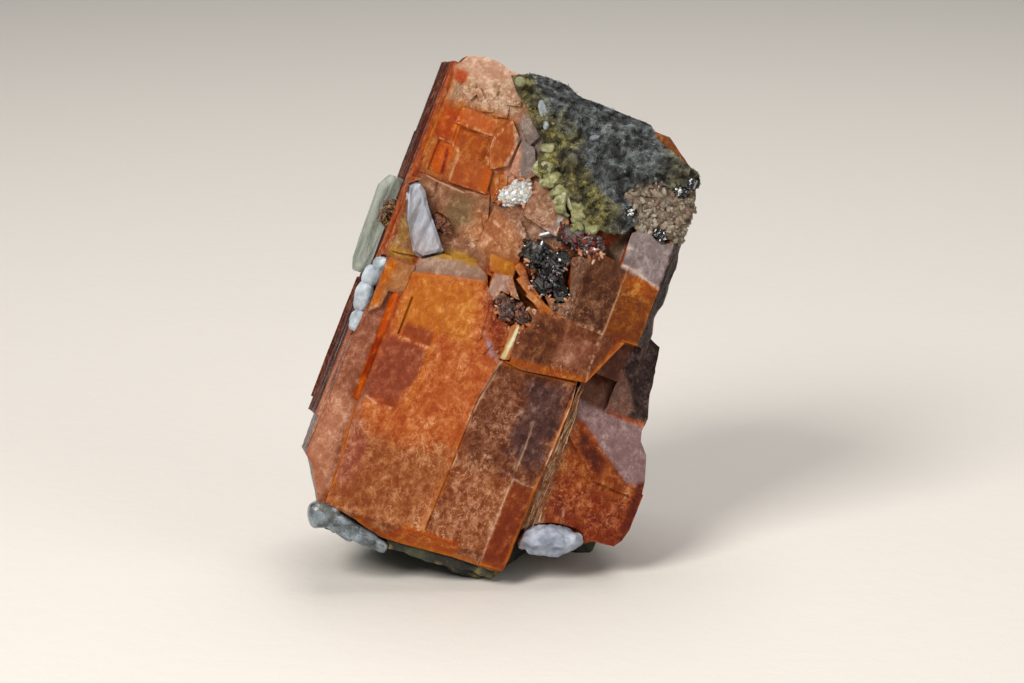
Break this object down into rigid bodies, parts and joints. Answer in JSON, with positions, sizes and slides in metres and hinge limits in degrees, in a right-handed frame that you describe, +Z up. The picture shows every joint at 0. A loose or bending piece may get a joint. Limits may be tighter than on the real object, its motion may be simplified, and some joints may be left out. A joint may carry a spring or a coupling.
{
  "type": "serandite specimen",
  "caption": "Serandite specimen: parallel orange crystals with cleavage steps, a dark green crust on one shoulder, white blades and grains, and small black and red-brown crystals",
  "frame": {"origin": "on the surface that the specimen stands on, at the middle of its outline seen from above", "axes": "+Z up, +X to the right and +Y away from a viewer who faces the broad orange slab; the crystals' long axis leans 21 degrees to the right and 15 degrees back"},
  "size_m": [0.0396, 0.0328, 0.0507],
  "materials": {
    "serandite": "glassy to silky orange crystal with paler veils, brown and lilac patches and pearly cleavage cracks",
    "matrix": "dull dark green-black rock with cream and yellow spots",
    "crust": "felted dark green to olive needles with blue-grey glints and a pale yellow-green rim",
    "cream": "granular dull cream",
    "white": "chalky to waxy blue-white",
    "grey_white": "waxy grey-white with fine black branching marks",
    "black": "glossy black crystals with a blue sheen",
    "red": "glossy dark red crystals",
    "brown": "rough brown grains",
    "yellow": "dull pale yellow splinter"
  },
  "bodies": {
    "root": {"serandite": "serandite", "base_matrix": "matrix", "crust": "crust", "cream_patch": "cream", "natrolite_left": "white", "natrolite_centre": "white", "white_beads": "white", "white_corner": "grey_white", "white_pebble": "white", "white_patch": "white", "black_cluster": "black", "black_flake_1": "black", "black_flake_2": "black", "black_flake_3": "black", "black_flake_4": "black", "red_cluster": "red", "brown_cluster": "brown", "brown_grains": "brown", "side_grains": "brown", "yellow_shard": "yellow"}
  },
  "joints": []
}
